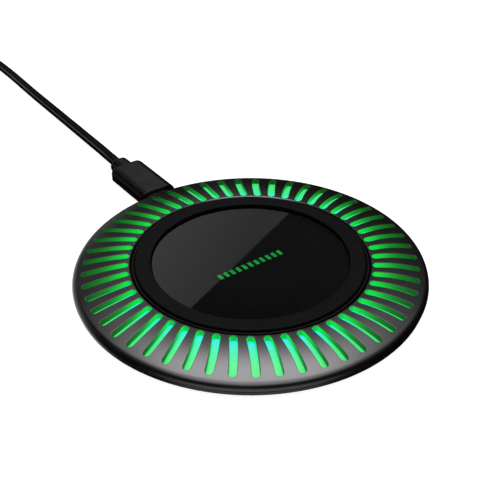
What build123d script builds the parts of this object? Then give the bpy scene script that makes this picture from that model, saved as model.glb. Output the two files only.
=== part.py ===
from build123d import *
import math
import os

# Wireless charging pad with a lit, slotted metal bezel, and a lead with a plug at each end.
# Frame: millimetres and degrees, origin at the centre of the plane the feet stand on,
# +Z up, +Y towards the lead's port. The indicator bar runs along X.
# R, W, H and T are radius, width, height and thickness; a Y or Z value is a place on that axis.
# A pair of Y or Z values is a span. Cutting shapes run past the faces they open.

# ---------------------------------------------------------------- shared dimensions
PAD_R = 50.0                        # outer radius of the bezel
BASE_Z, FLOOR_T = 0.8, 1.2          # underside of the base, thickness of its floor
FLOOR_Z = BASE_Z + FLOOR_T
LIP_IN_R, LIP_OUT_R = 47.9, 48.75   # base lip that stands inside the bezel's skirt
LIP_GAP = 0.05                      # radial gap from lip to bezel
BOARD_Z0, BOARD_Z1 = 2.3, 3.1
DECK_Z0, DECK_Z1 = 4.1, 4.6         # deck floor under the window
FLANGE_Z = DECK_Z1 + 0.1            # top of the deck's outer flange
ADHESIVE_T = 0.1

SCREW_R, SCREW_ANGLES = 30.2, (45, 135, 225, 315)
FOOT_T, FOOT_DOT_R = 1.1, 10.0
FOOT_RING = (35.5, 44.0)            # inner and outer radius of the ring foot

BEZEL_Z, BEZEL_T = 6.8, 1.65        # top at the inner edge, wall thickness
DOME_X, DOME_R = 33.6, 53.67        # radius at which the dome is level, radius of its section
DOME_CENTRE_Z = BEZEL_Z - DOME_R

PORT_Z = 2.75                       # centre of the port above the table
RECEPT_W, RECEPT_H, SHEET_T = 8.74, 2.96, 0.2
PORT_Y0, PORT_Y1 = 42.3, 52.0       # cut-out for the receptacle, running out past the rim


# ---------------------------------------------------------------- helpers
def chain(*points):
    """Straight edges joining (radius, z) points in the XZ plane."""
    ends = [Vector(radius, 0, z) for radius, z in points]
    return [Edge.make_line(*pair) for pair in zip(ends, ends[1:])]


def turned(*edges):
    """Solid of revolution about Z from the edges of a closed XZ section."""
    return revolve(make_face(list(edges)), axis=Axis.Z, revolution_arc=360)


def turned_outline(*points):
    return turned(*chain(*points, points[0]))


def ring(inner, outer, z0, z1):
    return turned_outline((inner, z0), (outer, z0), (outer, z1), (inner, z1))


def disc(radius, z0, z1, spot=(0, 0)):
    return Pos(*spot, (z0 + z1) / 2) * Cylinder(radius, z1 - z0)


def block(width, y_span, z_span, x=0.0):
    """Box centred on x, between two Y and two Z values."""
    (y0, y1), (z0, z1) = y_span, z_span
    return Pos(x, (y0 + y1) / 2, (z0 + z1) / 2) * Box(width, y1 - y0, z1 - z0)


def span(size, centre=0.0):
    return centre - size / 2, centre + size / 2


def oval_bar(width, height, y0, y1):
    """Bar along Y on the port's axis, with flat top and bottom and round sides."""
    section = Plane((0, y0, PORT_Z), x_dir=(1, 0, 0), z_dir=(0, 1, 0)) * SlotOverall(width, height)
    return extrude(section, amount=y1 - y0)


def rod(start, end, radius):
    start, end = Vector(*start), Vector(*end)
    along = end - start
    return extrude(Plane(origin=start, z_dir=along) * Circle(radius), amount=along.length)


def bent_rod(points, radius):
    """Straight rods through the points, with a ball at each bend."""
    bent = rod(points[0], points[1], radius)
    for start, end in zip(points[1:], points[2:]):
        bent = bent + Pos(*start) * Sphere(radius) + rod(start, end, radius)
    return bent


def polar(radius, angle):
    return radius * math.cos(math.radians(angle)), radius * math.sin(math.radians(angle))


def group(shapes):
    return Compound(children=list(shapes))


def dome_at(radius, depth=0.0):
    """(radius, z) on the bezel's dome, or on a surface at a depth below it."""
    rise = math.sqrt((DOME_R - depth) ** 2 - (radius - DOME_X) ** 2)
    return radius, DOME_CENTRE_Z + rise


def section_arc(*points):
    return Edge.make_three_point_arc(*[Vector(radius, 0, z) for radius, z in points])


def dome_arc(start, end, depth=0.0):
    return section_arc(*[dome_at(radius, depth) for radius in (start, (start + end) / 2, end)])


def port_cut():
    return oval_bar(RECEPT_W + 0.1, RECEPT_H + 0.1, PORT_Y0, PORT_Y1)


SCREW_SPOTS = [polar(SCREW_R, angle) for angle in SCREW_ANGLES]

# ---------------------------------------------------------------- base, feet and screws
BASE_R, BASE_CHAMFER = 49.6, 0.4
SEAM_Z, LIP_Z = 2.1, 2.85       # tops of the base's outer wall and of its lip
RIBS = ((25.0, 25.8), (44.0, 44.8))     # inner and outer radius of the ribs under the board
BOSS_R, BOSS_Z = 2.2, 3.2
HOLE_R, COUNTERBORE_R, COUNTERBORE_Z = 1.15, 2.0, 1.6
FOOT_GAP = 0.05
FOOT_ROUND = 0.25               # lower corners of the feet
GROOVE_DEPTH, GROOVE_MOUTH, GROOVE_FLOOR = 0.35, 0.45, 0.3      # last two are half widths


def base_cover():
    base = turned_outline(
        (0, BASE_Z), (BASE_R - BASE_CHAMFER, BASE_Z), (BASE_R, BASE_Z + BASE_CHAMFER),
        (BASE_R, SEAM_Z), (LIP_OUT_R, SEAM_Z), (LIP_OUT_R, LIP_Z), (LIP_IN_R, LIP_Z),
        (LIP_IN_R, FLOOR_Z), (0, FLOOR_Z))
    sunk_z, below = FLOOR_Z - 0.1, 0.5      # ribs and bosses sink into the floor
    base += [ring(*radii, sunk_z, BOARD_Z0) for radii in RIBS]
    cuts = [port_cut()]
    for spot in SCREW_SPOTS:
        base += disc(BOSS_R, sunk_z, BOSS_Z, spot)
        cuts += [disc(HOLE_R, below, BOSS_Z + 0.1, spot),
                 disc(COUNTERBORE_R, below, COUNTERBORE_Z, spot)]
    inner, outer = FOOT_RING
    cuts += [disc(FOOT_DOT_R + FOOT_GAP, below, FOOT_T),
             ring(inner - FOOT_GAP, outer + FOOT_GAP, below, FOOT_T)]
    return base - cuts


def rubber_feet():
    """Centre dot, and a ring with two shallow grooves in its underside."""
    dot = turned_outline((0, 0), (FOOT_DOT_R - FOOT_ROUND, 0), (FOOT_DOT_R, FOOT_ROUND),
                         (FOOT_DOT_R, FOOT_T), (0, FOOT_T))
    inner, outer = FOOT_RING
    outline = [(inner + FOOT_ROUND, 0)]
    for k in (1, 2):
        middle = inner + k * (outer - inner) / 3
        outline += [(middle - GROOVE_MOUTH, 0), (middle - GROOVE_FLOOR, GROOVE_DEPTH),
                    (middle + GROOVE_FLOOR, GROOVE_DEPTH), (middle + GROOVE_MOUTH, 0)]
    outline += [(outer - FOOT_ROUND, 0), (outer, FOOT_ROUND), (outer, FOOT_T),
                (inner, FOOT_T), (inner, FOOT_ROUND)]
    return group([dot, turned_outline(*outline)])


def case_screws():
    """Screws with a cross recess in the underside of the head."""
    screws = []
    for spot in SCREW_SPOTS:
        screw = disc(1.85, 0.85, 1.55, spot) + disc(1.0, 1.5, 5.9, spot)
        screw -= [Pos(*spot, 0.95) * Rot(0, 0, turn) * Box(1.9, 0.45, 0.5) for turn in (0, 90)]
        screws.append(screw)
    return group(screws)


# ---------------------------------------------------------------- slotted bezel
BEZEL_IN_R, BEZEL_CHAMFER = 33.65, 0.28
EDGE_R = 2.1                    # rounding between dome and skirt
SKIRT_Z, SKIRT_TAPER = 2.55, 0.12       # lower edge, and how far it draws in there
STEP_Z = 2.95                   # top of the step over the base's lip
SLOTS, SLOT_W, SLOT_PHASE = 51, 2.15, -48.5     # phase: angle of the first slot
SLOT_LINE = ((35.22, 0.12), (41.2, 1.39), (46.4, 1.77))     # radius, angle along a slot


def bezel_ring():
    # The edge rounding touches the dome where both share a normal, at this slope.
    edge_x, edge_z = dome_at(PAD_R - EDGE_R, EDGE_R)
    slope = math.atan2(edge_z - DOME_CENTRE_Z, edge_x - DOME_X)
    touch_x = DOME_X + DOME_R * math.cos(slope)
    touch_z = DOME_CENTRE_Z + DOME_R * math.sin(slope)
    edge_middle = (edge_x + EDGE_R * math.cos(slope / 2), edge_z + EDGE_R * math.sin(slope / 2))
    bore_top = (BEZEL_IN_R, BEZEL_Z - BEZEL_CHAMFER)
    chamfer_r = BEZEL_IN_R + BEZEL_CHAMFER
    step_r, inner_r = LIP_OUT_R + LIP_GAP, LIP_IN_R + LIP_GAP
    bezel = turned(
        *chain(bore_top, dome_at(chamfer_r)),
        dome_arc(chamfer_r, touch_x),
        section_arc((touch_x, touch_z), edge_middle, (PAD_R, edge_z)),
        *chain((PAD_R, edge_z), (PAD_R - SKIRT_TAPER, SKIRT_Z), (step_r, SKIRT_Z),
               (step_r, STEP_Z), dome_at(inner_r, BEZEL_T)),
        dome_arc(inner_r, BEZEL_IN_R, BEZEL_T),
        *chain(dome_at(BEZEL_IN_R, BEZEL_T), bore_top))
    slot_arc = Edge.make_three_point_arc(*[Vector(*polar(*point), 0) for point in SLOT_LINE])
    slot = Pos(0, 0, 3.0) * extrude(SlotArc(slot_arc, height=SLOT_W), amount=5.0)
    bezel = bezel - [Rot(0, 0, SLOT_PHASE + k * 360 / SLOTS) * slot for k in range(SLOTS)]
    return bezel - port_cut()


# ---------------------------------------------------------------- light ring
GUIDE_IN_R, GUIDE_LEG_R, GUIDE_OUT_R = 33.75, 34.75, 47.5
GUIDE_TOP, GUIDE_BOTTOM = BEZEL_T + 0.05, BEZEL_T + 0.65    # depths below the dome
REFLECT_IN_R, REFLECT_OUT_R = 38.5, 42.8
REFLECT_TOP, REFLECT_BOTTOM = 2.4, 2.75                     # depths below the dome
RING_LEDS, RING_LED_R = 17, 36.5


def light_guide():
    """Shell under the bezel with a leg at its inner edge, cut away round the port."""
    guide = turned(
        dome_arc(GUIDE_IN_R, GUIDE_OUT_R, GUIDE_TOP),
        *chain(dome_at(GUIDE_OUT_R, GUIDE_TOP), dome_at(GUIDE_OUT_R, GUIDE_BOTTOM)),
        dome_arc(GUIDE_OUT_R, GUIDE_LEG_R, GUIDE_BOTTOM),
        *chain(dome_at(GUIDE_LEG_R, GUIDE_BOTTOM), (GUIDE_LEG_R, FLANGE_Z),
               (GUIDE_IN_R, FLANGE_Z), dome_at(GUIDE_IN_R, GUIDE_TOP)))
    return guide - [block(11.0, (41.0, PORT_Y1), (1.0, PORT_Z + RECEPT_H / 2 + 0.04)),
                    block(9.2, (45.0, PORT_Y1), (1.0, 7.0))]


def reflector_ring():
    inner, outer = REFLECT_IN_R, REFLECT_OUT_R
    reflector = turned(
        dome_arc(inner, outer, REFLECT_TOP),
        *chain(dome_at(outer, REFLECT_TOP), dome_at(outer, REFLECT_BOTTOM)),
        dome_arc(outer, inner, REFLECT_BOTTOM),
        *chain(dome_at(inner, REFLECT_BOTTOM), dome_at(inner, REFLECT_TOP)))
    return reflector - block(9.4, (41.5, PORT_Y1), (1.0, 7.0))


def chip(radius, angle, radial, tangential, height):
    """Box standing on the main board, turned to face the centre."""
    place = Pos(*polar(radius, angle), BOARD_Z1 + height / 2) * Rot(0, 0, angle)
    return place * Box(radial, tangential, height)


def ring_leds():
    angles = [90 + 360 / RING_LEDS * (k + 0.5) for k in range(RING_LEDS)]
    return group(chip(RING_LED_R, angle, 1.6, 1.6, 0.7) for angle in angles)


# ---------------------------------------------------------------- main board
BOARD_IN_R, BOARD_OUT_R = 24.4, 45.0
BOARD_HOLE_R = 2.35
CHIP_R = 28.6                   # circle the larger parts stand on
PASSIVE_RADII = (25.6, 32.6)
PASSIVE_ANGLES = (58, 70, 82, 98, 110, 122, 200, 212)


def main_board():
    cuts = [block(8.9, (PORT_Y0, PORT_Y1), (2.0, 4.0))]
    cuts += [disc(BOARD_HOLE_R, 2.0, 4.0, spot) for spot in SCREW_SPOTS]
    return ring(BOARD_IN_R, BOARD_OUT_R, BOARD_Z0, BOARD_Z1) - cuts


def controller_chip():
    return chip(CHIP_R, 90, 5.0, 5.0, 0.85)


def power_transistors():
    return group(chip(CHIP_R, angle, 3.0, 3.0, 0.8) for angle in (66, 76, 104, 114))


def resonant_capacitors():
    return group(chip(CHIP_R, angle, 3.2, 2.5, 0.9) for angle in (150, 157, 164, 171))


def filter_inductor():
    return chip(CHIP_R, 188, 4.0, 4.0, 0.95)


def chip_passives():
    return group(chip(radius, angle, 1.0, 0.5, 0.45)
                 for radius in PASSIVE_RADII for angle in PASSIVE_ANGLES)


# ---------------------------------------------------------------- top deck and window
RIM_IN_R, RIM_OUT_R, RIM_Z = 28.0, 32.35, 7.4   # raised rim around the window
RIM_CHAMFER, RIM_ROUND = 0.2, 0.4               # inner and outer top edges
RIM_ROUND_MID = 0.117                           # inset of the rounding's middle point
HOLLOW_IN_R, HOLLOW_OUT_R, HOLLOW_Z = 29.0, 31.4, 6.5       # channel under the rim
FLANGE_R = 34.6
POST_R, POST_Z0, POST_Z1 = 1.9, 3.25, 6.6       # screw posts
PILOT_R, PILOT_Z0, PILOT_Z1 = 1.04, 3.0, 6.0
OPENING_W, OPENING_D = 23.5, 3.0                # opening for the light bar, X and Y
WINDOW_R, WINDOW_T, WINDOW_CHAMFER = 27.8, 1.8, 0.15
TRIM_IN_R = RIM_OUT_R + 0.05


def top_deck():
    round_start, round_end = (RIM_OUT_R - RIM_ROUND, RIM_Z), (RIM_OUT_R, RIM_Z - RIM_ROUND)
    deck = turned(
        *chain((0, DECK_Z1), (RIM_IN_R, DECK_Z1), (RIM_IN_R, RIM_Z - RIM_CHAMFER),
               (RIM_IN_R + RIM_CHAMFER, RIM_Z), round_start),
        section_arc(round_start, (RIM_OUT_R - RIM_ROUND_MID, RIM_Z - RIM_ROUND_MID), round_end),
        *chain(round_end, (RIM_OUT_R, FLANGE_Z), (FLANGE_R, FLANGE_Z), (FLANGE_R, DECK_Z0),
               (HOLLOW_OUT_R, DECK_Z0), (HOLLOW_OUT_R, HOLLOW_Z), (HOLLOW_IN_R, HOLLOW_Z),
               (HOLLOW_IN_R, DECK_Z0), (0, DECK_Z0), (0, DECK_Z1)))
    cuts = [block(OPENING_W, span(OPENING_D), (3.9, 4.9))]
    for spot in SCREW_SPOTS:
        deck += disc(POST_R, POST_Z0, POST_Z1, spot)
        cuts.append(disc(PILOT_R, PILOT_Z0, PILOT_Z1, spot))
    return deck - cuts


def trim_ring():
    """Thin upright ring on a flat foot, outside the rim."""
    return turned_outline(
        (TRIM_IN_R, FLANGE_Z), (33.6, FLANGE_Z), (33.6, 5.1), (33.25, 5.1), (33.25, 6.6),
        (33.1, 6.75), (32.8, 6.75), (32.65, 6.6), (32.65, 5.1), (TRIM_IN_R, 5.1))


def window_disc():
    bottom = DECK_Z1 + ADHESIVE_T
    window = disc(WINDOW_R, bottom, bottom + WINDOW_T)
    return chamfer(window.edges().group_by(Axis.Z)[-1], WINDOW_CHAMFER)


def window_adhesive():
    return ring(20.0, 27.6, DECK_Z1, DECK_Z1 + ADHESIVE_T)


# ---------------------------------------------------------------- coil stack
FOAM_R, FOAM_Z = 22.0, 2.5              # Z values here are tops of layers
FERRITE_R, FERRITE_Z = 23.5, 3.1
COIL_GLUE_R = (10.0, 22.2)
COIL_GLUE_Z = FERRITE_Z + ADHESIVE_T
GROOVE_X, GROOVE_W = (9.4, 24.0), 1.0   # radial groove for the coil's inner lead
COIL_IN_R, COIL_PITCH, COIL_TURNS, WIRE_R = 10.6, 1.08, 10, 0.4
COIL_Z = COIL_GLUE_Z + WIRE_R
COIL_END_R = COIL_IN_R + COIL_TURNS * COIL_PITCH
LEAD_END_X = 26.4


def foam_pad():
    return disc(FOAM_R, FLOOR_Z, FOAM_Z)


def lead_groove():
    x0, x1 = GROOVE_X
    return block(x1 - x0, span(GROOVE_W), (2.3, 3.5), x=(x0 + x1) / 2)


def ferrite_plate():
    return disc(FERRITE_R, FOAM_Z, FERRITE_Z) - lead_groove()


def coil_adhesive():
    return ring(*COIL_GLUE_R, FERRITE_Z, COIL_GLUE_Z) - lead_groove()


def charging_coil():
    """Flat spiral of half-turn arcs on two centres half a pitch apart."""
    arcs, radius = [], COIL_IN_R
    for k in range(2 * COIL_TURNS):
        centre, side = (0.0, 1) if k % 2 == 0 else (-COIL_PITCH / 2, -1)
        reach = side * radius
        arcs.append(Edge.make_three_point_arc(
            Vector(centre + reach, 0, COIL_Z), Vector(centre, reach, COIL_Z),
            Vector(centre - reach, 0, COIL_Z)))
        radius += COIL_PITCH / 2
    section = Plane(origin=(COIL_IN_R, 0, COIL_Z), z_dir=(0, 1, 0)) * Circle(WIRE_R)
    return sweep(section, path=Wire(arcs), transition=Transition.RIGHT)


def coil_leads():
    """Outer lead beside the coil, and inner lead under it and up past its edge."""
    outer_y, inner_z, rise_x = -1.6, 2.86, 23.9
    outer = [(COIL_END_R, -0.02, COIL_Z), (COIL_END_R, outer_y, COIL_Z),
             (LEAD_END_X, outer_y, COIL_Z)]
    inner = [(10.4, 0, inner_z), (rise_x, 0, inner_z), (rise_x, 0, COIL_Z),
             (LEAD_END_X, 0, COIL_Z)]
    return group([bent_rod(outer, 0.38), bent_rod(inner, 0.33)])


# ---------------------------------------------------------------- indicator
BAR_SEGMENTS, BAR_PITCH, SEGMENT_W, SEGMENT_D = 11, 2.05, 1.15, 2.3
INDICATOR_Z = 3.4               # top of the indicator's board


def indicator_mask():
    places = [(i - (BAR_SEGMENTS - 1) / 2) * BAR_PITCH for i in range(BAR_SEGMENTS)]
    return disc(19.8, DECK_Z1, DECK_Z1 + ADHESIVE_T) - [
        block(SEGMENT_W, span(SEGMENT_D), (4.0, 5.0), x) for x in places]


def indicator_light_bar():
    return block(OPENING_W - 0.1, span(OPENING_D - 0.1), (DECK_Z0, DECK_Z1))


def indicator_board():
    return disc(9.2, FERRITE_Z, INDICATOR_Z)


def indicator_leds():
    return group(block(1.6, span(0.8), (INDICATOR_Z, 3.95), x) for x in (-6.0, 0.0, 6.0))


def coil_thermistor():
    return Pos(0, 6.2, 3.75) * Sphere(0.35)


# ---------------------------------------------------------------- port
SHELL_Y0, SHELL_Y1 = 42.4, 49.2
TAB_X0, TAB_X1, TAB_Y = 4.33, 5.3, (44.0, 45.2)     # bent tabs at the shell's sides
TONGUE_T = 0.7
CONTACTS, CONTACT_PITCH = 12, 0.5


def contact_rows(width, y_span, near, far):
    """Contacts above and below the port's axis, between two distances from it."""
    return group(
        block(width, y_span, sorted((PORT_Z + side * near, PORT_Z + side * far)),
              (i - (CONTACTS - 1) / 2) * CONTACT_PITCH)
        for i in range(CONTACTS) for side in (-1, 1))


def receptacle_shell():
    shell = oval_bar(RECEPT_W, RECEPT_H, SHELL_Y0, SHELL_Y1) - oval_bar(
        RECEPT_W - 2 * SHEET_T, RECEPT_H - 2 * SHEET_T, SHELL_Y0 + SHEET_T, SHELL_Y1 + 0.3)
    tab_z = (BOARD_Z1, BOARD_Z1 + SHEET_T)
    shell += [block(0.1, TAB_Y, (2.5, 3.3), side * TAB_X0)
              + block(TAB_X1 - TAB_X0, TAB_Y, tab_z, side * (TAB_X0 + TAB_X1) / 2)
              for side in (-1, 1)]
    return shell


def receptacle_tongue():
    return block(6.69, (SHELL_Y0 + SHEET_T, 47.9), span(TONGUE_T, PORT_Z))


def receptacle_contacts():
    return contact_rows(0.25, (43.2, 47.6), TONGUE_T / 2, TONGUE_T / 2 + 0.05)


# ---------------------------------------------------------------- plug
PLUG_W, PLUG_H, PLUG_WALL = 8.25, 2.4, 0.3      # plug shell
GRIP_Y0, GRIP_Y1 = 50.2, 70.75                  # overmold
GRIP_W, GRIP_H, GRIP_R = 12.6, 5.4, 2.4         # GRIP_R: rear corners seen from above
NECK_W, NECK_H, NECK_L = 6.6, 4.9, 5.15
JACKET_R, JACKET_IN_R = 1.68, 1.05
BORE_R, BORE_L = JACKET_R + 0.03, 20            # cable bore in both grips


def plug_shell():
    return oval_bar(PLUG_W, PLUG_H, 43.6, 54.0) - oval_bar(
        PLUG_W - 2 * PLUG_WALL, PLUG_H - 2 * PLUG_WALL, 43.0, 54.5)


def plug_insert():
    return oval_bar(7.6, 1.75, 43.9, 53.9) - block(6.86, (43.0, 49.9), span(1.0, PORT_Z))


def plug_contacts():
    return contact_rows(0.2, (44.6, 49.6), 0.42, 0.5)


def plug_board():
    return block(7.0, (54.2, 59.4), span(0.8, PORT_Z))


def plug_grip():
    grip = oval_bar(GRIP_W, GRIP_H, GRIP_Y0, GRIP_Y1)
    grip = fillet(grip.edges().group_by(Axis.Y)[0], 0.25)
    plan = block(GRIP_W, (GRIP_Y0 - 1, GRIP_Y1), (-1, 8))
    plan = fillet(plan.edges().filter_by(Axis.Z).group_by(Axis.Y)[-1], GRIP_R)
    grip = grip & plan
    grip = fillet(grip.edges().group_by(Axis.Y)[-1], 0.7)
    neck = oval_bar(NECK_W, NECK_H, GRIP_Y1 - 3.5, GRIP_Y1 + NECK_L)
    neck = fillet(neck.edges().group_by(Axis.Y)[-1], 1.0)
    grip = grip + neck
    bore_y = 59.5
    bore = rod((0, bore_y, PORT_Z), (0, bore_y + BORE_L, PORT_Z), BORE_R)
    return grip - [oval_bar(PLUG_W + 0.04, PLUG_H + 0.04, 50.0, 60.0), bore]


# ---------------------------------------------------------------- cable
# The host plug's own frame: its -Y is forward, out of the plug's open end.
HOST = Plane(origin=(-62.0, 68.0, 4.1), x_dir=(0.951, -0.309, 0), z_dir=(0, 0, 1))
CABLE_Y0 = 60.2
CORE_R, CORE_OFFSET = 0.4, 0.43
LYING_Z = JACKET_R + 0.02       # centre line of the cable lying on the table
ROUTE = [                       # x, y, z along the centre line
    (0, 77.0, PORT_Z), (0.4, 87.0, 2.5), (0.88, 98.0, 2.1), (1.49, 123.0, 1.72),
    (1.87, 150.0, LYING_Z), (2.3, 178.0, LYING_Z), (-1.2, 193.5, LYING_Z),
    (-14.0, 200.5, LYING_Z), (-27.5, 192.5, LYING_Z), (-33.4, 176.0, LYING_Z),
    (-38.0, 150.0, LYING_Z), (-43.4, 124.0, LYING_Z), (-49.6, 100.0, 2.3)]
CABLE_START = Plane(origin=(0, CABLE_Y0, PORT_Z), x_dir=(1, 0, 0), z_dir=(0, 1, 0))


def along_cable(section):
    """Sweep a section from inside the plug grip to inside the host plug grip."""
    tail_in, tail_out = [HOST.from_local_coords(Vector(0, y, 0)) for y in (-1.5, 15.5)]
    free = Edge.make_spline([Vector(*point) for point in ROUTE] + [tail_out],
                            tangents=[Vector(0, 1, 0), (tail_in - tail_out).normalized()])
    path = Wire([Edge.make_line(Vector(0, CABLE_Y0, PORT_Z), Vector(*ROUTE[0])),
                 free, Edge.make_line(tail_out, tail_in)])
    return sweep(CABLE_START * section, path=path, transition=Transition.RIGHT)


def cable_jacket():
    return along_cable(Circle(JACKET_R) - Circle(JACKET_IN_R))


def cable_cores():
    offsets = (-CORE_OFFSET, CORE_OFFSET)
    return group(along_cable(Pos(x, z, 0) * Circle(CORE_R)) for x in offsets for z in offsets)


# ---------------------------------------------------------------- host plug, in its own frame
HOST_W, HOST_H, HOST_WALL = 12.0, 4.5, 0.3      # host plug shell
INSULATOR_Z = -0.3                              # top of the insulator


def host_plug_grip():
    grip = block(15.4, (-10.0, 9.0), span(7.8))
    grip = fillet(grip.edges().filter_by(Axis.Y), 2.6)
    grip = fillet(grip.edges().group_by(Axis.Y)[-1], 1.2)
    grip = fillet(grip.edges().group_by(Axis.Y)[0], 0.4)
    neck = rod((0, 7.0, 0), (0, 14.0, 0), 3.2)
    neck = fillet(neck.edges().group_by(Axis.Y)[-1], 0.8)
    grip = grip + neck
    grip -= [rod((0, -2.0, 0), (0, BORE_L - 2.0, 0), BORE_R),
             block(HOST_W + 0.04, (-11.0, -2.0), span(HOST_H + 0.04))]
    return HOST * grip


def host_plug_shell():
    """Rectangular tube with two windows in its top and bottom."""
    inside = block(HOST_W - 2 * HOST_WALL, (-29.0, -2.0), span(HOST_H - 2 * HOST_WALL))
    windows = [block(2.5, (-23.5, -21.0), (-3, 3), x) for x in (-2.6, 2.6)]
    return HOST * (block(HOST_W, (-28.7, -2.1), span(HOST_H)) - inside - windows)


def host_plug_insulator():
    return HOST * block(11.2, (-28.0, -3.0), (-1.9, INSULATOR_Z))


def host_plug_contacts():
    return group(HOST * block(1.0, (-27.5, -20.0), (INSULATOR_Z, -0.15), x)
                 for x in (-3.5, -1.1, 1.1, 3.5))


# ---------------------------------------------------------------- export
PIECES = (
    base_cover, rubber_feet, case_screws, bezel_ring, light_guide, reflector_ring, ring_leds,
    main_board, controller_chip, power_transistors, resonant_capacitors, filter_inductor,
    chip_passives, top_deck, trim_ring, window_disc, window_adhesive, indicator_mask,
    indicator_light_bar, indicator_board, indicator_leds, coil_thermistor, foam_pad,
    ferrite_plate, coil_adhesive, charging_coil, coil_leads, receptacle_shell,
    receptacle_tongue, receptacle_contacts, plug_shell, plug_insert, plug_contacts, plug_board,
    plug_grip, cable_jacket, cable_cores, host_plug_grip, host_plug_shell,
    host_plug_insulator, host_plug_contacts)

os.makedirs("parts", exist_ok=True)
for piece in PIECES:
    export_step(piece(), f"parts/{piece.__name__}.step")
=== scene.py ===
# Round wireless charging pad with a ring of lit slots, its cable and plugs.
# The pad's axis is Z, it stands on the floor at z = 0 and its port opens towards +Y.
# The camera looks from -X -Y and above. Shape dimensions are in mm, staging in metres.
import math
from functools import cached_property

import bmesh
import bpy
from mathutils import Matrix, Vector


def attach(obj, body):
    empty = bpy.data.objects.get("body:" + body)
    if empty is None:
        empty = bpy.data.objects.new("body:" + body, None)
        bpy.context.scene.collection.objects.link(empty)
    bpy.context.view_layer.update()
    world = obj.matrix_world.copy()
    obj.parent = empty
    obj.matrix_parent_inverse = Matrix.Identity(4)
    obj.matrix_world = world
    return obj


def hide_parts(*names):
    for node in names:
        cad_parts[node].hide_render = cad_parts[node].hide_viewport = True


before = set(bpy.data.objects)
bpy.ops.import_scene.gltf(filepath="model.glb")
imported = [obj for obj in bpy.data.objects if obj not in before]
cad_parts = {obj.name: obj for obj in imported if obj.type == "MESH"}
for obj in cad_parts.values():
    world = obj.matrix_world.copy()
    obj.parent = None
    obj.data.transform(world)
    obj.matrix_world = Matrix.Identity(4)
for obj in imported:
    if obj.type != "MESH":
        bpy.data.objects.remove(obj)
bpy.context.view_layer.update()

MM = 0.001


def radians(*degrees):
    return tuple(math.radians(angle) for angle in degrees)


# =============================================================== mesh helpers
def mesh_obj(name, verts, faces, materials=(), slots=None, smooth=True):
    """Object from points in mm; slots gives the material index of each face."""
    mesh = bpy.data.meshes.new(name)
    mesh.from_pydata([(x * MM, y * MM, z * MM) for x, y, z in verts], [], faces)
    mesh.update()
    for material in materials:
        mesh.materials.append(material)
    if slots is not None:
        mesh.polygons.foreach_set("material_index", slots)
    if smooth:
        mesh.polygons.foreach_set("use_smooth", [True] * len(mesh.polygons))
    obj = bpy.data.objects.new(name, mesh)
    bpy.context.scene.collection.objects.link(obj)
    return obj


def face_outwards(obj, weld=None):
    """Makes the normals consistent, after merging points closer than weld (metres)."""
    bm = bmesh.new()
    bm.from_mesh(obj.data)
    if weld:
        bmesh.ops.remove_doubles(bm, verts=bm.verts, dist=weld)
    bmesh.ops.recalc_face_normals(bm, faces=bm.faces)
    bm.to_mesh(obj.data)
    bm.free()


def select_only(obj):
    for other in bpy.context.selected_objects:
        other.select_set(False)
    bpy.context.view_layer.objects.active = obj
    obj.select_set(True)


def apply_modifiers(obj):
    select_only(obj)
    for modifier in list(obj.modifiers):
        bpy.ops.object.modifier_apply(modifier=modifier.name)


def smooth_by_angle(obj, degrees):
    """Sharp edges above the angle, smooth shading elsewhere."""
    mesh = obj.data
    mesh.polygons.foreach_set("use_smooth", [True] * len(mesh.polygons))
    select_only(obj)
    mesh.set_sharp_from_angle(angle=math.radians(degrees))


def cut(obj, cutter):
    modifier = obj.modifiers.new("cut", "BOOLEAN")
    modifier.operation = "DIFFERENCE"
    modifier.solver = "EXACT"
    modifier.object = cutter
    apply_modifiers(obj)
    bpy.data.objects.remove(cutter)


def finish_part(obj, replaces=None):
    """Shades a finished piece of the pad, hides the CAD piece it replaces and attaches it to the
    pad's body.
    """
    smooth_by_angle(obj, 40)
    if replaces:
        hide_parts(replaces)
    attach(obj, "pad")


def rounded(corners, steps):
    """Rounds a closed section given as (radius, z, rounding); rounding 0 keeps a corner."""
    points = [corner[:2] for corner in corners]
    section = []
    for i, (point, rounding) in enumerate(zip(points, (corner[2] for corner in corners))):
        if rounding <= 0:
            section.append(point)
            continue
        corner = Vector(point)
        to_last = (Vector(points[i - 1]) - corner).normalized()
        to_next = (Vector(points[(i + 1) % len(points)]) - corner).normalized()
        angle = to_last.angle(to_next)
        setback = rounding / math.tan(angle / 2)
        centre = corner + (to_last + to_next).normalized() * (rounding / math.sin(angle / 2))
        start = corner + to_last * setback - centre
        end = corner + to_next * setback - centre
        sweep = start.angle(end)
        for k in range(steps + 1):
            t = k / steps
            spoke = start * math.sin((1 - t) * sweep) + end * math.sin(t * sweep)
            section.append(tuple(centre + spoke / math.sin(sweep)))
    return section


def with_support_points(section, margin=0.03, shortest=0.3):
    """Adds a point near both ends of each long side, so shading stays flat between them."""
    dense = []
    for p, q in zip(section, section[1:] + section[:1]):
        dense.append(p)
        length = math.dist(p, q)
        if length > shortest and (p[0] > 1e-6 or q[0] > 1e-6):
            for f in (margin / length, 1 - margin / length):
                dense.append((p[0] + (q[0] - p[0]) * f, p[1] + (q[1] - p[1]) * f))
    return dense


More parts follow.
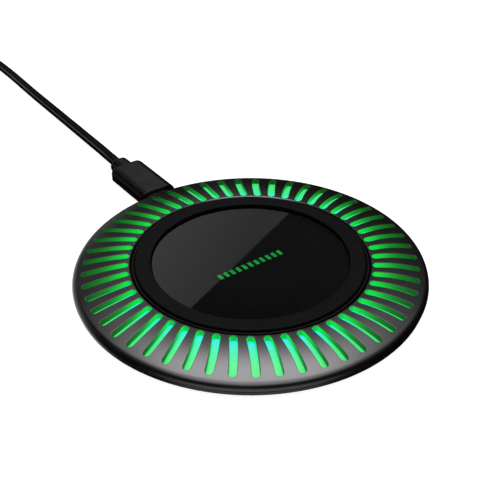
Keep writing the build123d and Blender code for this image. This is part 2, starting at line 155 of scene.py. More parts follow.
def lathe(name, section, segments, material):
    """Solid turned about Z from a closed section of (radius, z) points."""
    verts, faces, rings = [], [], []
    for r, z in with_support_points(section):
        if r < 1e-6:
            rings.append([len(verts)])
            verts.append((0, 0, z))
            continue
        rings.append(list(range(len(verts), len(verts) + segments)))
        for i in range(segments):
            angle = 2 * math.pi * i / segments
            verts.append((r * math.cos(angle), r * math.sin(angle), z))
    for a, b in zip(rings, rings[1:] + rings[:1]):
        if len(a) == 1 and len(b) == 1:
            continue
        for i in range(segments):
            j = (i + 1) % segments
            if len(a) == 1:
                faces.append((a[0], b[j], b[i]))
            elif len(b) == 1:
                faces.append((a[i], a[j], b[0]))
            else:
                faces.append((a[i], a[j], b[j], b[i]))
    obj = mesh_obj(name, verts, faces, [material], [0] * len(faces))
    face_outwards(obj)
    return obj


# =============================================================== shader graphs
RISING, FALLING = (0.0, 1.0), (1.0, 0.0)


class Graph:
    """Small builder for the node tree of a material or a world."""

    def __init__(self, owner, output="ShaderNodeOutputMaterial"):
        owner.use_nodes = True
        self.tree = owner.node_tree
        self.tree.nodes.clear()
        self.output = self.add(output)

    @cached_property
    def coordinates(self):
        return self.add("ShaderNodeTexCoord").outputs

    @cached_property
    def geometry(self):
        return self.add("ShaderNodeNewGeometry").outputs

    def feed(self, socket, value):
        """Links a socket, or sets a plain value."""
        if isinstance(value, bpy.types.NodeSocket):
            self.tree.links.new(value, socket)
        else:
            socket.default_value = value

    def add(self, kind, inputs=None, **properties):
        node = self.tree.nodes.new(kind)
        for key, value in properties.items():
            setattr(node, key, value)
        for key, value in (inputs or {}).items():
            self.feed(node.inputs[key], value)
        return node

    def show(self, shader):
        self.feed(self.output.inputs["Surface"], shader)

    def math(self, operation, *values):
        inputs = dict(enumerate(values))
        return self.add("ShaderNodeMath", inputs, operation=operation).outputs[0]

    def dot(self, vector, direction):
        inputs = {0: vector, 1: tuple(direction)}
        node = self.add("ShaderNodeVectorMath", inputs, operation="DOT_PRODUCT")
        return node.outputs["Value"]

    def map_range(self, value, span, to, **properties):
        inputs = {"From Min": span[0], "From Max": span[1], "To Min": to[0], "To Max": to[1],
                  "Value": value}
        return self.add("ShaderNodeMapRange", inputs, **properties).outputs["Result"]

    def step(self, value, span, to=RISING):
        return self.map_range(value, span, to, interpolation_type="SMOOTHSTEP")

    def band(self, value, rise, fall):
        """1 between two soft edges, 0 outside them."""
        return self.math("MULTIPLY", self.step(value, rise), self.step(value, fall, FALLING))

    def noise(self, scale, detail=4.0, roughness=0.55, vector=None):
        inputs = {"Scale": scale, "Detail": detail, "Roughness": roughness,
                  "Vector": vector or self.coordinates["Object"]}
        return self.add("ShaderNodeTexNoise", inputs).outputs["Fac"]

    def weighted(self, a, weight_a, b, weight_b):
        return self.math("ADD", self.math("MULTIPLY", a, weight_a),
                         self.math("MULTIPLY", b, weight_b))

    def ramp(self, factor, stops):
        """Colour ramp from (position, colour) stops."""
        node = self.add("ShaderNodeValToRGB", {"Fac": factor})
        elements = node.color_ramp.elements
        elements[0].position, elements[0].color = stops[0]
        elements[1].position, elements[1].color = stops[-1]
        for position, color in stops[1:-1]:
            elements.new(position).color = color
        return node.outputs["Color"]

    def bump(self, height, distance):
        inputs = {"Distance": distance, "Height": height}
        return self.add("ShaderNodeBump", inputs).outputs["Normal"]

    def mix_shaders(self, factor, a, b):
        return self.add("ShaderNodeMixShader", {0: factor, 1: a, 2: b}).outputs[0]

    def axis_distance_mm(self):
        """Distance from the pad's axis, in mm."""
        xyz = self.add("ShaderNodeSeparateXYZ", {0: self.coordinates["Object"]}).outputs
        squares = [self.math("MULTIPLY", xyz[k], xyz[k]) for k in (0, 1)]
        return self.math("MULTIPLY", self.math("SQRT", self.math("ADD", *squares)), 1000.0)


class Surface(Graph):
    """Material with one Principled shader."""

    def __init__(self, name):
        self.material = bpy.data.materials.new(name)
        super().__init__(self.material)
        self.bsdf = self.add("ShaderNodeBsdfPrincipled")
        self.show(self.bsdf.outputs[0])

    def set(self, **values):
        for key, value in values.items():
            self.feed(self.bsdf.inputs[key.replace("_", " ")], value)


def srgb(*levels):
    """0-255 display colour to linear."""
    linear = []
    for level in levels:
        level /= 255.0
        linear.append(level / 12.92 if level <= 0.04045 else ((level + 0.055) / 1.055) ** 2.4)
    return (*linear, 1.0)


def shade(color, factor):
    return (*(min(1.0, level * factor) for level in color), 1.0)


NOISE_SPAN = (0.3, 0.7)     # the part of a noise's range that carries its variation


# =============================================================== materials
def plastic(name, color, rough=0.5, grain=9000, grain_height=0.000004, specular=0.5,
            mottle=0.25):
    """Moulded plastic: fine grain, slight variation of colour and gloss."""
    s = Surface(name)
    fine = s.noise(scale=grain, detail=3.0, roughness=0.6)
    broad = s.noise(scale=180, detail=3.0, roughness=0.5)
    s.set(Base_Color=s.ramp(s.weighted(fine, 0.5, broad, 0.5),
                            [(0.35, shade(color, 1 - mottle)), (0.65, shade(color, 1 + mottle))]),
          Roughness=s.map_range(broad, NOISE_SPAN, to=(rough - 0.05, rough + 0.05)),
          Normal=s.bump(fine, distance=grain_height),
          Specular_IOR_Level=specular, Coat_Roughness=0.1)
    return s.material


def metal(name, color, rough, stretch=(1, 1, 1), scale=2500, bump=0.000002, variation=0.08):
    """Metal with a grain that can be stretched along an axis."""
    s = Surface(name)
    mapping = s.add("ShaderNodeMapping", {"Scale": stretch, "Vector": s.coordinates["Object"]})
    grain = s.noise(scale=scale, detail=3.0, roughness=0.6, vector=mapping.outputs["Vector"])
    s.set(Base_Color=s.ramp(grain, [(0.3, shade(color, 1 - variation)),
                                    (0.7, shade(color, 1 + variation))]),
          Roughness=s.map_range(grain, NOISE_SPAN, to=(rough - 0.06, rough + 0.06)),
          Normal=s.bump(grain, distance=bump), Metallic=1.0)
    return s.material


def bezel_metal():
    """Satin gunmetal with a very fine blasted grain."""
    s = Surface("bezel_gunmetal")
    blast = s.noise(scale=14000, detail=2.0, roughness=0.6)
    broad = s.noise(scale=90, detail=3.0, roughness=0.5)
    s.set(Base_Color=s.ramp(s.weighted(blast, 0.6, broad, 0.4),
                            [(0.3, (0.066, 0.064, 0.066, 1)), (0.7, (0.092, 0.090, 0.093, 1))]),
          Roughness=s.map_range(broad, NOISE_SPAN, to=(0.27, 0.31)),
          Normal=s.bump(blast, distance=0.0000022), Metallic=1.0)
    return s.material


# distance from the axis in mm, display colour there: for the slot walls, painted light from the
# guide below them, weaker towards the outer end; for the guide, its own glow
PAINTED_WALL_LIGHT = [
    (33.8, (6, 160, 50)), (34.8, (6, 226, 70)), (35.8, (12, 224, 56)), (37.6, (20, 198, 46)),
    (39.2, (20, 168, 38)), (40.6, (17, 142, 32)), (42.2, (15, 120, 27)), (44.2, (14, 100, 20)),
    (46.0, (12, 84, 16)), (47.6, (6, 60, 10))]
GUIDE_GLOW = [
    (33.9, (0, 0, 0)), (34.2, (38, 228, 236)), (35.5, (42, 232, 220)), (36.8, (48, 234, 200)),
    (38.4, (54, 234, 176)), (39.5, (58, 234, 158)), (41.7, (58, 233, 134)),
    (43.4, (62, 232, 126)), (45.2, (58, 228, 112)), (47.4, (50, 204, 98))]


def glow_and_painted_light(name, stops, strength, color, rough, specular):
    """Glow that changes with the distance from the axis: the lit plastic guide's own glow, and
    green light from the guide painted as emission on the metal slot walls and the steel port
    shell.
    """
    s = Surface(name)
    mottle = 0.06
    first, last = stops[0][0], stops[-1][0]
    across = s.map_range(s.axis_distance_mm(), (first, last), to=(0.0, 1.0))
    glow = s.ramp(across, [((r - first) / (last - first), srgb(*c)) for r, c in stops])
    cloud = s.noise(scale=700, detail=3.0, roughness=0.6)
    level = s.map_range(cloud, NOISE_SPAN, to=(1.0 - mottle, 1.0 + mottle))
    s.set(Emission_Color=glow, Emission_Strength=s.math("MULTIPLY", level, strength),
          Base_Color=(*color, 1), Roughness=rough, Specular_IOR_Level=specular,
          Normal=s.bump(s.noise(scale=5000, detail=2.0), distance=0.000004))
    return s.material


def solder_mask():
    """Green circuit board with a faint brick pattern."""
    s = Surface("solder_mask")
    brick = s.add("ShaderNodeTexBrick", {
        "Scale": 700, "Color1": (0.010, 0.075, 0.030, 1), "Color2": (0.013, 0.095, 0.038, 1),
        "Mortar": (0.02, 0.14, 0.06, 1), "Mortar Size": 0.02,
        "Vector": s.coordinates["Object"]}).outputs
    s.set(Base_Color=brick["Color"], Normal=s.bump(brick["Fac"], distance=0.00002),
          Roughness=0.3, Coat_Weight=0.3)
    return s.material


def tinted_window():
    """Dark tinted acrylic: clear gloss over a see-through body."""
    material = bpy.data.materials.new("window_tinted")
    g = Graph(material)
    ripple = g.bump(g.noise(scale=55, detail=2.0, roughness=0.5), distance=0.0000012)
    smudge = g.map_range(g.noise(scale=130, detail=4.0, roughness=0.6),
                         (0.45, 0.75), to=(0.010, 0.022))
    gloss = g.add("ShaderNodeBsdfGlossy",
                  {"Color": (1, 1, 1, 1), "Roughness": smudge, "Normal": ripple})
    body = g.add("ShaderNodeBsdfTransparent", {"Color": (0.44, 0.46, 0.46, 1)})
    fresnel = g.add("ShaderNodeFresnel", {"IOR": 1.49})
    front = g.math("SUBTRACT", 1.0, g.geometry["Backfacing"])
    g.show(g.mix_shaders(g.math("MULTIPLY", fresnel.outputs[0], front),
                         body.outputs[0], gloss.outputs[0]))
    return material


def lit_bar():
    s = Surface("indicator_lit")
    glow = s.ramp(s.noise(scale=900, detail=2.0),
                  [(0.3, srgb(10, 165, 62)), (0.7, srgb(22, 205, 84))])
    s.set(Emission_Color=glow, Emission_Strength=3.0,
          Base_Color=(0.02, 0.2, 0.06, 1), Roughness=0.4)
    return s.material


MAT = {
    "bezel": bezel_metal(),
    "bezel_edge": metal("bezel_cut_edge", color=(0.26, 0.26, 0.27), rough=0.16,
                        scale=6000, bump=0.000001),
    # painted light: the metal slot walls glow green as if lit by the guide below them
    "slot_wall": glow_and_painted_light("slot_wall_painted_light", PAINTED_WALL_LIGHT, strength=0.95,
                             color=(0.01, 0.05, 0.02), rough=0.45, specular=0.3),
    "guide": glow_and_painted_light("light_guide_lit", GUIDE_GLOW, strength=0.93,
                         color=(0.02, 0.10, 0.05), rough=0.35, specular=0.3),
    "deck": plastic("deck_matt_black", color=(0.0034, 0.0034, 0.0036), rough=0.5,
                    grain=11000, grain_height=0.0000025, specular=0.05),
    "trim": plastic("trim_black", color=(0.0015, 0.0015, 0.0016), rough=0.55,
                    grain=8000, grain_height=0.000003, specular=0.1),
    "base": plastic("base_black", color=(0.002, 0.002, 0.0022), rough=0.26,
                    grain=7000, grain_height=0.000002),
    "grip": plastic("grip_black", color=(0.0022, 0.0022, 0.0024), rough=0.24,
                    grain_height=0.0000015, specular=0.2),
    "jacket": plastic("jacket_pvc", color=(0.0016, 0.0016, 0.0018), rough=0.12,
                      grain=6000, grain_height=0.0000010, specular=0.6),
    "rubber": plastic("foot_rubber", color=(0.016, 0.016, 0.016), rough=0.8,
                      grain=5000, grain_height=0.00001, specular=0.3),
    "white": plastic("white_reflector", color=(0.8, 0.8, 0.8), mottle=0.04),
    "chip": plastic("epoxy_black", color=(0.02, 0.02, 0.022), rough=0.6, grain_height=0.000006),
    "ceramic": plastic("ceramic_brown", color=(0.28, 0.18, 0.11), rough=0.45),
    "ferrite": plastic("sintered_ferrite", color=(0.045, 0.045, 0.05), rough=0.6,
                       grain=4000, grain_height=0.00001),
    "foam": plastic("foam_black", color=(0.03, 0.03, 0.03), rough=0.9,
                    grain=2500, grain_height=0.00003),
    "tape": plastic("film_black", color=(0.012, 0.012, 0.0125), rough=0.55,
                    specular=0.2, mottle=0.1),
    "led": plastic("led_resin", color=(0.75, 0.78, 0.5), rough=0.25, mottle=0.1),
    "steel": metal("zinc_steel", color=(0.62, 0.62, 0.63), rough=0.28,
                   stretch=(1, 6, 1), scale=1800),
    "gold": metal("gold_flash", color=(0.83, 0.58, 0.22), rough=0.25),
    "copper": metal("enamelled_copper", color=(0.72, 0.30, 0.11), rough=0.3, scale=4000),
    "core": plastic("core_insulation", color=(0.5, 0.05, 0.04), rough=0.45, mottle=0.1),
    # painted light: the steel receptacle shell glows with the slot walls' painted green light
    # from the guide
    "port_shell": glow_and_painted_light("port_shell_painted_light", PAINTED_WALL_LIGHT, strength=0.75,
                              color=(0.02, 0.06, 0.03), rough=0.5, specular=0.1),
    "conn": plastic("connector_black", color=(0.02, 0.02, 0.022)),
    "board": solder_mask(),
    "window": tinted_window(),
    "bar": lit_bar(),
}

# CAD piece: its material
CAD_MATERIALS = {
    "base_cover": "base", "rubber_feet": "rubber", "case_screws": "steel",
    "reflector_ring": "white", "ring_leds": "led", "main_board": "board",
    "controller_chip": "chip", "power_transistors": "chip", "resonant_capacitors": "ceramic",
    "filter_inductor": "ferrite", "chip_passives": "ceramic", "window_adhesive": "tape",
    "indicator_mask": "tape", "indicator_light_bar": "bar", "indicator_board": "board",
    "indicator_leds": "led", "coil_thermistor": "chip", "foam_pad": "foam",
    "ferrite_plate": "ferrite", "coil_adhesive": "tape", "charging_coil": "copper",
    "coil_leads": "copper", "receptacle_shell": "port_shell", "receptacle_tongue": "conn",
    "receptacle_contacts": "gold", "plug_shell": "steel", "plug_insert": "conn",
    "plug_contacts": "gold", "plug_board": "board", "cable_cores": "core",
    "host_plug_shell": "steel", "host_plug_insulator": "conn", "host_plug_contacts": "gold",
    "light_guide": "guide", "bezel_ring": "bezel", "top_deck": "deck", "trim_ring": "trim",
    "window_disc": "window", "plug_grip": "grip", "cable_jacket": "jacket",
    "host_plug_grip": "grip"}
for piece, key in CAD_MATERIALS.items():
    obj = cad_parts[piece]
    obj.data.materials.clear()
    obj.data.materials.append(MAT[key])
    smooth_by_angle(obj, 30)

# =============================================================== bezel
# The section is an arc that peaks at CROWN_R, rounded over into the rim at PAD_R.
PAD_R, CROWN_R, CROWN_Z, DOME_R = 50.0, 33.6, 6.8, 53.67
RIM_ROUNDING = 2.1
RIM_TANGENT_R = 48.4823         # where the dome meets the rim rounding
WALL = 1.65                     # thickness under the dome
BORE_R = 33.65
CELL_IN, CELL_OUT = 33.93, 48.0     # radii between which each slot has its own cell of mesh

SLOTS, SLOT_WIDTH, SLOT_ROUNDING = 51, 2.15, 0.13
FIRST_SLOT = math.radians(-48.5)
PITCH = 2 * math.pi / SLOTS
END_STEPS, SIDE_STEPS = 8, 18   # segments on each end and each side of a slot
ROUNDING_STEPS, CELL_STEPS, UNDER_STEPS, RIM_STEPS = 4, 4, 2, 14

# slot centreline, continued beyond both ends: radius, angle in degrees
CENTRELINE = [
    (33.0, -0.20), (34.0, -0.06), (35.22, 0.12), (36.7, 0.52), (38.2, 0.84), (39.7, 1.13),
    (41.2, 1.39), (42.7, 1.56), (44.2, 1.67), (46.4, 1.77), (48.0, 1.82), (50.0, 1.86)]
# inner end, middle and outer end of the slot's arc: radius, angle in degrees
SLOT_ARC = [(35.22, 0.12), (41.2, 1.39), (46.4, 1.77)]
# skirt below the rim and back under it: radius, z
SKIRT = [(49.985, 2.66), (49.95, 2.60), (49.90, 2.555), (49.80, 2.54), (49.3, 2.54),
         (48.84, 2.54), (48.80, 2.58), (48.8, 2.95)]
# underside, bore and cut edge: radius, depth below the dome's height at CELL_IN
BORE = [(CELL_IN, WALL), (BORE_R + 0.03, WALL), (BORE_R, WALL - 0.04), (BORE_R, 0.34),
        (BORE_R + 0.012, 0.285), (BORE_R + 0.05, 0.235), (CELL_IN - 0.06, 0.052),
        (CELL_IN - 0.03, 0.014), (CELL_IN, 0.0)]
CUT_EDGE_BANDS = (4, 5, 6)      # bands of BORE with the bright cut edge
METAL_SLOT, WALL_SLOT, EDGE_SLOT = 0, 1, 2
PORT = dict(width=8.84, height=3.06, y0=44.5, y1=52.0, z=2.75)


def dome_z(r, inset=0.0):
    """Height of the dome at radius r, or of the arc lying inset below it."""
    return CROWN_Z - DOME_R + math.sqrt((DOME_R - inset) ** 2 - (r - CROWN_R) ** 2)


def circle_through(a, b, c):
    """Centre of the circle through three points."""
    (ax, ay), (bx, by), (cx, cy) = a, b, c
    a2 = ax * ax + ay * ay
    b2 = bx * bx + by * by
    c2 = cx * cx + cy * cy
    d = 2 * (ax * (by - cy) + bx * (cy - ay) + cx * (ay - by))
    return ((a2 * (by - cy) + b2 * (cy - ay) + c2 * (ay - by)) / d,
            (a2 * (cx - bx) + b2 * (ax - cx) + c2 * (bx - ax)) / d)


def polar(r, angle):
    return r * math.cos(angle), r * math.sin(angle)


ARC_POINTS = [polar(r, math.radians(degrees)) for r, degrees in SLOT_ARC]
ARC_CENTRE = circle_through(*ARC_POINTS)
ARC_R = math.dist(ARC_CENTRE, ARC_POINTS[0])
ARC_START, ARC_END = (math.atan2(y - ARC_CENTRE[1], x - ARC_CENTRE[0])
                      for x, y in (ARC_POINTS[0], ARC_POINTS[-1]))


def slot_frame(s):
    """Point on the slot's arc, its outward direction and the left of it; s is 0 to 1."""
    angle = ARC_START + (ARC_END - ARC_START) * s
    cos, sin = math.cos(angle), math.sin(angle)
    turn = 1.0 if ARC_END > ARC_START else -1.0
    point = (ARC_CENTRE[0] + ARC_R * cos, ARC_CENTRE[1] + ARC_R * sin)
    along = (-sin * turn, cos * turn)
    return point, along, (-along[1], along[0])


def slot_outline(half_width):
    """Slot outline in order: inner end, right side, outer end, left side."""
    points = []
    for start, sign in ((0.0, 1.0), (1.0, -1.0)):
        point, along, left = slot_frame(start)
        for i in range(END_STEPS):
            cos, sin = polar(1.0, math.pi * i / END_STEPS)
            points.append(tuple(p + sign * half_width * (cos * l - sin * a)
                                for p, l, a in zip(point, left, along)))
        for i in range(SIDE_STEPS):
            point, _, left = slot_frame(start + sign * i / SIDE_STEPS)
            points.append(tuple(p - sign * half_width * l for p, l in zip(point, left)))
    return points


def centre_angle(r):
    """Angle of the slot's centreline at radius r."""
    for (r0, a0), (r1, a1) in zip(CENTRELINE, CENTRELINE[1:]):
        if r <= r1:
            return math.radians(a0 + (a1 - a0) * (r - r0) / (r1 - r0))
    return math.radians(CENTRELINE[-1][1])


def cell_outline():
    """Outline of the cell round a slot, matching slot_outline point for point."""
    half = PITCH / 2
    stations = []
    for start, sign in ((CELL_IN, 1.0), (CELL_OUT, -1.0)):
        stations += [(start, sign * (half - 2 * half * i / END_STEPS))
                     for i in range(END_STEPS)]
        stations += [(start + sign * (CELL_OUT - CELL_IN) * i / SIDE_STEPS, -sign * half)
                     for i in range(SIDE_STEPS)]
    return [polar(r, angle + centre_angle(r)) for r, angle in stations]


def blend(a, b, f):
    """Outline part of the way from a to b."""
    return [(p[0] * (1 - f) + q[0] * f, p[1] * (1 - f) + q[1] * f) for p, q in zip(a, b)]


def slot_rows():
    """Outlines with their depth below the dome: up the slot's wall, then out to the cell.
    Also returns how many of them start a band of wall."""
    half = SLOT_WIDTH / 2
    inner, cell = slot_outline(half), cell_outline()
    shoulder = slot_outline(half + SLOT_ROUNDING + 0.07)
    rows = [(inner, depth) for depth in (WALL, WALL * 0.66, WALL * 0.33, SLOT_ROUNDING + 0.02)]
    wall_bands = len(rows)
    for k in range(ROUNDING_STEPS + 1):
        turn = math.pi / 2 * k / ROUNDING_STEPS
        rows.append((slot_outline(half + SLOT_ROUNDING * (1 - math.cos(turn))),
                     SLOT_ROUNDING * (1 - math.sin(turn))))
    rows.append((shoulder, 0.0))
    rows += [(blend(shoulder, cell, k / CELL_STEPS), 0.0) for k in range(1, CELL_STEPS + 1)]
    under = [(blend(inner, cell, k / UNDER_STEPS), WALL) for k in range(UNDER_STEPS + 1)]
    return rows, wall_bands, under


def rim_section():
    """From the cells' outer edge over the rim, down the skirt and back underneath."""
    section = [(CELL_OUT, dome_z(CELL_OUT))]
    for i in range(1, 4):
        r = CELL_OUT + (RIM_TANGENT_R - CELL_OUT) * i / 3
        section.append((r, dome_z(r)))
    centre_r = PAD_R - RIM_ROUNDING
    centre_z = dome_z(centre_r, inset=RIM_ROUNDING)
    start = math.atan2(dome_z(RIM_TANGENT_R) - centre_z, RIM_TANGENT_R - centre_r)
    for i in range(1, RIM_STEPS + 1):
        dr, dz = polar(RIM_ROUNDING, start * (1 - i / RIM_STEPS))
        section.append((centre_r + dr, centre_z + dz))
    return section + SKIRT + [(CELL_OUT, dome_z(CELL_OUT) - WALL)]


def build_bezel():
    verts, faces, slots = [], [], []

    def bridge(a, b, count, slot=METAL_SLOT, underside=False):
        """Band of quads between two closed rows that start at points a and b."""
        for i in range(count):
            j = (i + 1) % count
            if underside:
                faces.append((a + i, b + i, b + j, a + j))
            else:
                faces.append((a + i, a + j, b + j, b + i))
            slots.append(slot)

    def put_outline(outline, depth, turn):
        start = len(verts)
        cos, sin = math.cos(turn), math.sin(turn)
        for x, y in outline:
            z = dome_z(math.hypot(x, y)) - depth
            verts.append((x * cos - y * sin, x * sin + y * cos, z))
        return start

    def put_ring(r, z, cell_r):
        """Ring with the angular divisions the cells have at radius cell_r."""
        start = len(verts)
        for s in range(SLOTS):
            for i in range(END_STEPS):
                angle = (FIRST_SLOT + s * PITCH + centre_angle(cell_r) - PITCH / 2
                         + PITCH * i / END_STEPS)
                verts.append((*polar(r, angle), z))
        return start

    rows, wall_bands, under = slot_rows()
    count = len(rows[0][0])
    for s in range(SLOTS):
        turn = FIRST_SLOT + s * PITCH
        starts = [put_outline(outline, depth, turn) for outline, depth in rows]
        for k, (a, b) in enumerate(zip(starts, starts[1:])):
            bridge(a, b, count, WALL_SLOT if k < wall_bands else METAL_SLOT)
        starts = [put_outline(outline, depth, turn) for outline, depth in under]
        for a, b in zip(starts, starts[1:]):
            bridge(a, b, count, underside=True)

    ring_count = SLOTS * END_STEPS
    starts = [put_ring(r, z, CELL_OUT) for r, z in rim_section()]
    for a, b in zip(starts, starts[1:]):
        bridge(a, b, ring_count)
    top = dome_z(CELL_IN)
    starts = [put_ring(r, top - depth, CELL_IN) for r, depth in BORE]
    for k, (a, b) in enumerate(zip(starts, starts[1:])):
        bridge(a, b, ring_count, EDGE_SLOT if k in CUT_EDGE_BANDS else METAL_SLOT)

    # the slot walls take the material with painted light from the guide
    obj = mesh_obj("bezel", verts, faces,
                   [MAT["bezel"], MAT["slot_wall"], MAT["bezel_edge"]], slots)
    face_outwards(obj, weld=2e-6)
    return obj


def oval_cutter(width, height, y0, y1, z, steps=12):
    """Bar along Y with a flat top and bottom and round ends in X."""
    r = height / 2
    offset = width / 2 - r
    section = []
    for side in (1, -1):
        for i in range(steps + 1):
            dx, dz = polar(r, -side * math.pi / 2 + math.pi * i / steps)
            section.append((side * offset + dx, dz))
    n = len(section)
    verts = [(x, y, z + dz) for y in (y0, y1) for x, dz in section]
    faces = [(i, (i + 1) % n, n + (i + 1) % n, n + i) for i in range(n)]
    faces += [tuple(range(n))[::-1], tuple(range(n, 2 * n))]
    obj = mesh_obj("cutter", verts, faces, smooth=False)
    face_outwards(obj)
    return obj


bezel = build_bezel()
cut(bezel, oval_cutter(**PORT))
finish_part(bezel, replaces="bezel_ring")

# =============================================================== deck, trim and window
RING_SEGMENTS = 256
# closed sections: radius, z, rounding of the corner
DECK_SECTION = [        # disc with a raised, hollow rim and an outer flange
    (0, 4.6, 0), (28.0, 4.6, 0.1), (28.0, 7.4, 0.28), (32.35, 7.4, 0.42), (32.35, 4.7, 0.15),
    (34.6, 4.7, 0.05), (34.6, 4.1, 0.05), (31.4, 4.1, 0.05), (31.4, 6.5, 0.2),
    (29.0, 6.5, 0.2), (29.0, 4.1, 0.1), (0, 4.1, 0)]
BOSS_SECTION = [        # post with a blind hole from below
    (1.04, 3.25, 0.15), (1.9, 3.25, 0.15), (1.9, 6.55, 0), (0, 6.55, 0), (0, 6.0, 0),
    (1.04, 6.0, 0.05)]
TRIM_SECTION = [        # upright collar on a wider foot
    (32.4, 4.7, 0), (33.6, 4.7, 0.05), (33.6, 5.1, 0.05), (33.25, 5.1, 0.05),
    (33.25, 6.75, 0.16), (32.65, 6.75, 0.16), (32.65, 5.1, 0.05), (32.4, 5.1, 0)]
WINDOW_SECTION = [(0, 4.73, 0), (27.8, 4.73, 0.06), (27.8, 6.5, 0.16), (0, 6.5, 0)]
BAR_OPENING = dict(x=(-11.75, 11.75), y=(-1.5, 1.5), z=(3.9, 4.9), bevel=0.2)
BOSS_CIRCLE_R, BOSSES, BOSS_SEGMENTS = 30.2, 4, 48


def box_cutter(x, y, z, bevel):
    """Bevelled box between the given limits."""
    verts = [(px, py, pz) for px in x for py in y for pz in z]
    faces = [(0, 1, 3, 2), (4, 6, 7, 5), (0, 4, 5, 1), (2, 3, 7, 6), (0, 2, 6, 4), (1, 5, 7, 3)]
    obj = mesh_obj("cutter", verts, faces, smooth=False)
    face_outwards(obj)
    modifier = obj.modifiers.new("bevel", "BEVEL")
    modifier.width = bevel * MM
    modifier.segments = 3
    apply_modifiers(obj)
    return obj


def build_deck():
    deck = lathe("deck_rim", rounded(DECK_SECTION, steps=6), RING_SEGMENTS, MAT["deck"])
    cut(deck, box_cutter(**BAR_OPENING))
    finish_part(deck, replaces="top_deck")


def build_bosses():
    """Posts under the rim, on the diagonals."""
    for k in range(BOSSES):
        boss = lathe("deck_boss_%d" % k, rounded(BOSS_SECTION, steps=3), BOSS_SEGMENTS,
                     MAT["deck"])
        x, y = polar(BOSS_CIRCLE_R, math.radians(45 + 90 * k))
        boss.location = (x * MM, y * MM, 0)
        finish_part(boss)


def build_trim():
    trim = lathe("trim_collar", rounded(TRIM_SECTION, steps=5), RING_SEGMENTS, MAT["trim"])
    finish_part(trim, replaces="trim_ring")


def build_window():
    pane = lathe("window_pane", rounded(WINDOW_SECTION, steps=5), RING_SEGMENTS, MAT["window"])
    finish_part(pane, replaces="window_disc")


build_deck()
build_bosses()
build_trim()
build_window()

# =============================================================== camera
CAMERA_AT = Vector((-0.12658, -0.17397, 0.15726))
VIEW = Vector((0.48465, 0.66707, -0.56581)).normalized()
AWAY = Vector((VIEW.x, VIEW.y, 0)).normalized()     # away from the camera along the floor
RIGHT = Vector((AWAY.y, -AWAY.x, 0))                # the camera's right


def build_camera():
    data = bpy.data.cameras.new("camera")
    data.sensor_width = 36.0
    data.sensor_fit = "HORIZONTAL"
    data.lens = 67.2466
    data.clip_start = 0.01
    data.clip_end = 20
    camera = bpy.data.objects.new("camera", data)
    bpy.context.scene.collection.objects.link(camera)
    axes = Matrix((RIGHT, RIGHT.cross(VIEW), -VIEW)).transposed()
    camera.matrix_world = Matrix.Translation(CAMERA_AT) @ axes.to_4x4()
    bpy.context.scene.camera = camera


build_camera()

# =============================================================== floor
FLOOR_HALF = 3000       # mm


def floor_reflection(g):
    """Strength of the floor as a glossy surface sees it."""
    # azimuth of the reflected ray: 0 away from the camera, positive to its right
    azimuth = g.math("ARCTAN2",
                     g.math("MULTIPLY", g.dot(g.geometry["Incoming"], RIGHT), -1.0),
                     g.math("MULTIPLY", g.dot(g.geometry["Incoming"], AWAY), -1.0))
    towards_camera = g.step(g.math("ABSOLUTE", azimuth), radians(118, 150), to=(0.0, 0.75))
    left = g.band(azimuth, rise=radians(-80, -58), fall=radians(-12, 2))
    # the lead shades the floor beside it and everything beyond it in +Y; metres
    place = g.add("ShaderNodeSeparateXYZ", {0: g.geometry["Position"]}).outputs
    off_axis = g.math("ABSOLUTE", place["X"])
    shaded = g.math("MULTIPLY", g.step(place["Y"], (0.044, 0.054)),
                    g.step(off_axis, (0.024, 0.034), FALLING))
    shaded = g.math("MAXIMUM", shaded, g.step(place["Y"], (0.070, 0.080)))
    return g.math("MULTIPLY", g.math("ADD", towards_camera, left),
                  g.math("SUBTRACT", 1.0, shaded))


def floor_material():
    """White to the camera, separate light for reflections, open from below."""
    material = bpy.data.materials.new("floor_white")
    g = Graph(material)
    diffuse = g.add("ShaderNodeBsdfDiffuse", {"Color": (0.30, 0.30, 0.30, 1)})
    lift = g.add("ShaderNodeEmission", {"Strength": 0.93})
    white = g.add("ShaderNodeAddShader", {0: diffuse.outputs[0], 1: lift.outputs[0]})
    reflected = g.add("ShaderNodeEmission", {"Strength": floor_reflection(g)})
    path = g.add("ShaderNodeLightPath").outputs
    top = g.mix_shaders(path["Is Glossy Ray"], white.outputs[0], reflected.outputs[0])
    clear = g.add("ShaderNodeBsdfTransparent")
    g.show(g.mix_shaders(g.geometry["Backfacing"], top, clear.outputs[0]))
    return material


def build_floor():
    h = FLOOR_HALF
    floor = mesh_obj("floor", [(-h, -h, 0), (h, -h, 0), (h, h, 0), (-h, h, 0)], [(0, 1, 2, 3)],
                     [floor_material()], smooth=False)


build_floor()

# =============================================================== window reflection card
# corners in mm; the right edge shows as the diagonal in the glass
CARD_RIGHT = [Vector((334.9834, 320.2328, 219.8325)), Vector((109.4562, 285.6067, 299.8329))]
CARD_LEFT = [Vector((61.3647, 315.4071, 295.8401)), Vector((197.9516, 456.4211, 205.6468))]
CARD_STRENGTH = (0.33, 0.74)    # at the right edge, at the left edge


def card_material():
    """Emission that brightens from the card's right edge to its left."""
    material = bpy.data.materials.new("window_card")
    g = Graph(material)
    right = sum(CARD_RIGHT, Vector()) / 2 * MM
    across = sum(CARD_LEFT, Vector()) / 2 * MM - right
    direction = across.normalized()
    start = right.dot(direction)
    strength = g.map_range(g.dot(g.geometry["Position"], direction),
                           (start, start + across.length), to=CARD_STRENGTH)
    g.show(g.add("ShaderNodeEmission", {"Strength": strength}).outputs[0])
    return material


def build_card():
    """Emitting card that only reflections can see."""
    card = mesh_obj("window_card", CARD_RIGHT + CARD_LEFT, [(0, 1, 2, 3)], [card_material()],
                    smooth=False)
    card.visible_camera = False
    card.visible_shadow = False
    card.visible_diffuse = False
    card.visible_transmission = False


build_card()


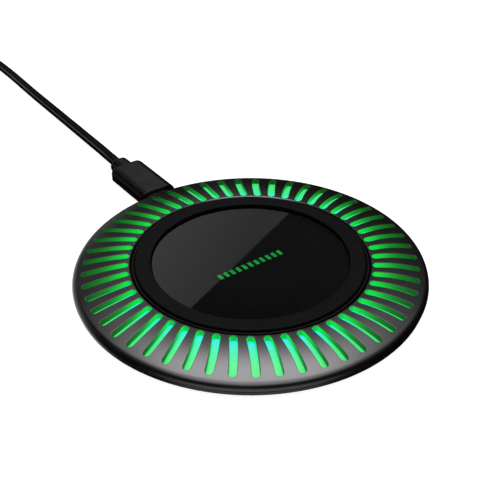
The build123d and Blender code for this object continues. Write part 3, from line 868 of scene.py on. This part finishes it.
# =============================================================== world
def studio_light(g):
    """Soft overhead lights, a low light at the back left, dark elsewhere."""
    direction = g.coordinates["Generated"]
    up, away, right = (g.dot(direction, axis) for axis in ((0, 0, 1), AWAY, RIGHT))
    # height in the plane through the camera, past 90 degrees towards it
    elevation = g.math("ARCTAN2", up, away)
    sideways = g.math("ABSOLUTE", right)

    back_key = g.math("MULTIPLY", g.band(elevation, rise=radians(52, 64), fall=radians(74, 80)),
                      g.step(sideways, (0.24, 0.38), FALLING))
    top_key = g.math("MULTIPLY", g.band(elevation, rise=radians(74, 80), fall=radians(112, 142)),
                     g.step(sideways, (0.30, 0.62), FALLING))
    glow = g.band(elevation, rise=radians(38, 54), fall=radians(90, 130))
    glow = g.math("MULTIPLY", glow, g.step(right, (0.45, 0.85), FALLING))
    glow = g.math("MULTIPLY", glow, g.step(right, (-0.75, -0.35)))
    haze = g.band(elevation, rise=radians(18, 26), fall=radians(36, 42))
    light = g.weighted(back_key, 6.8, top_key, 2.4)
    for lobe, strength in ((glow, 0.9), (haze, 0.075)):
        light = g.math("ADD", light, g.math("MULTIPLY", lobe, strength))

    azimuth = g.math("ARCTAN2", right, away)
    low_left = g.math("MULTIPLY", g.band(azimuth, rise=radians(-82, -60), fall=radians(-24, -12)),
                      g.step(up, (0.20, 0.32), FALLING))
    light = g.math("ADD", light, g.math("MULTIPLY", low_left, 0.9))
    ambient = 0.01
    light = g.math("ADD", light, ambient)
    # light from below, which only reaches the underside
    return g.math("ADD", light, g.step(up, (-0.25, -0.6), to=(0.0, 0.9)))


def build_world():
    world = bpy.data.worlds.new("studio")
    g = Graph(world, output="ShaderNodeOutputWorld")
    path = g.add("ShaderNodeLightPath").outputs
    backdrop = 1.4      # what the camera sees directly
    strength = g.add("ShaderNodeMix", {0: path["Is Camera Ray"], 2: studio_light(g), 3: backdrop},
                     data_type="FLOAT")
    g.show(g.add("ShaderNodeBackground", {"Strength": strength.outputs[0]}).outputs[0])
    bpy.context.scene.world = world


build_world()

# =============================================================== render settings
scene = bpy.context.scene
scene.view_settings.view_transform = "Standard"
scene.view_settings.look = "None"
scene.view_settings.exposure = 0.0
scene.view_settings.gamma = 1.0
scene.cycles.use_denoising = True
scene.cycles.max_bounces = 8
scene.cycles.transparent_max_bounces = 12
